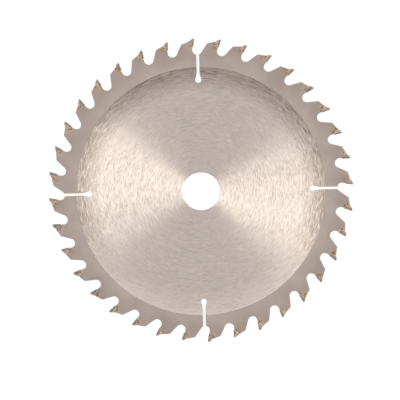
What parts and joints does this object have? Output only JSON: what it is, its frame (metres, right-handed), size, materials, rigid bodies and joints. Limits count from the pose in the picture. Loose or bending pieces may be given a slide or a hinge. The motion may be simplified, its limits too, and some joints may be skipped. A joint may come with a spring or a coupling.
{
  "type": "circular saw blade",
  "caption": "Carbide-tipped circular saw blade: bright ground disc, matt blasted rim, hooked teeth, round gullets, keyhole expansion slots and a plain bore.",
  "frame": {"origin": "on the axis of the bore, half way through the plate's thickness", "axes": "+Z along the bore, out of the face that the picture shows; the teeth cut clockwise seen from +Z; +Y is up in the picture"},
  "size_m": [0.1598, 0.1598, 0.0024],
  "materials": {
    "blade_steel": "ground in circles inside, blasted matt at the rim",
    "carbide": "fine ground, dark grey",
    "braze": "frozen braze, copper coloured, part oxidised"
  },
  "bodies": {
    "root": {"blade_plate": "blade_steel", "right_point_tip_01": "carbide", "left_point_tip_02": "carbide", "right_point_tip_03": "carbide", "left_point_tip_04": "carbide", "right_point_tip_05": "carbide", "left_point_tip_06": "carbide", "right_point_tip_07": "carbide", "left_point_tip_08": "carbide", "right_point_tip_09": "carbide", "left_point_tip_10": "carbide", "right_point_tip_11": "carbide", "left_point_tip_12": "carbide", "right_point_tip_13": "carbide", "left_point_tip_14": "carbide", "right_point_tip_15": "carbide", "left_point_tip_16": "carbide", "right_point_tip_17": "carbide", "left_point_tip_18": "carbide", "right_point_tip_19": "carbide", "left_point_tip_20": "carbide", "right_point_tip_21": "carbide", "left_point_tip_22": "carbide", "right_point_tip_23": "carbide", "left_point_tip_24": "carbide", "right_point_tip_25": "carbide", "left_point_tip_26": "carbide", "right_point_tip_27": "carbide", "left_point_tip_28": "carbide", "right_point_tip_29": "carbide", "left_point_tip_30": "carbide", "right_point_tip_31": "carbide", "left_point_tip_32": "carbide", "right_point_tip_33": "carbide", "left_point_tip_34": "carbide", "right_point_tip_35": "carbide", "left_point_tip_36": "carbide", "braze_joints": "braze"}
  },
  "joints": []
}
